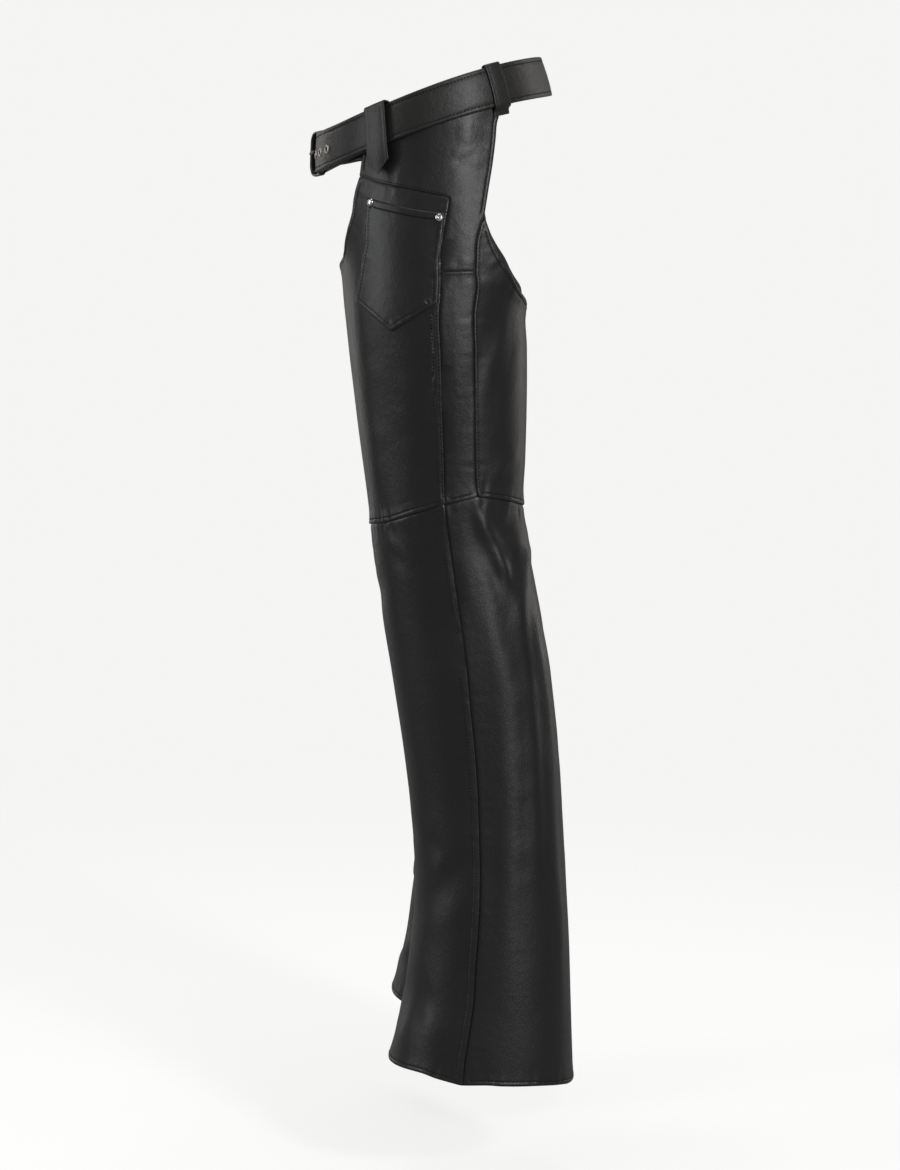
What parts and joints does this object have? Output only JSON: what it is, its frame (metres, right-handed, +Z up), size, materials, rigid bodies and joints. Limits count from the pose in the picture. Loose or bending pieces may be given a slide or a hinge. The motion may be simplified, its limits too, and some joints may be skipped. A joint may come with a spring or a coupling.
{
  "type": "leather chaps",
  "caption": "Full-length black leather riding chaps held by a buckled belt, open at the front and seat, with a patch pocket on each thigh.",
  "frame": {"origin": "centre of the belt ring at the wearer's waist, where the wearer holds the chaps up", "axes": "+Z up along the body, the wearer faces -Y, +X to the wearer's left"},
  "size_m": [0.4246, 0.2646, 1.0164],
  "materials": {
    "black_leather": "matt to semi-gloss, fine grain",
    "silver_metal": "polished nickel",
    "black_nickel": "dark plated"
  },
  "bodies": {
    "root": {"left_yoke": "black_leather", "left_thigh_front": "black_leather", "left_side_strip": "black_leather", "left_thigh_back": "black_leather", "left_shin_front": "black_leather", "left_calf_back": "black_leather", "left_pocket": "black_leather", "left_pocket_rivet_1": "silver_metal", "left_pocket_rivet_2": "silver_metal", "left_loop_front": "black_leather", "left_loop_back": "black_leather", "right_yoke": "black_leather", "right_thigh_front": "black_leather", "right_side_strip": "black_leather", "right_thigh_back": "black_leather", "right_shin_front": "black_leather", "right_calf_back": "black_leather", "right_pocket": "black_leather", "right_pocket_rivet_1": "silver_metal", "right_pocket_rivet_2": "silver_metal", "right_loop_front": "black_leather", "right_loop_back": "black_leather", "front_tab": "black_leather", "belt_strap": "black_leather", "buckle_frame": "black_nickel", "buckle_prong": "black_nickel", "eyelet_1": "silver_metal", "eyelet_2": "silver_metal", "eyelet_3": "silver_metal", "eyelet_4": "silver_metal", "eyelet_5": "silver_metal"}
  },
  "joints": []
}
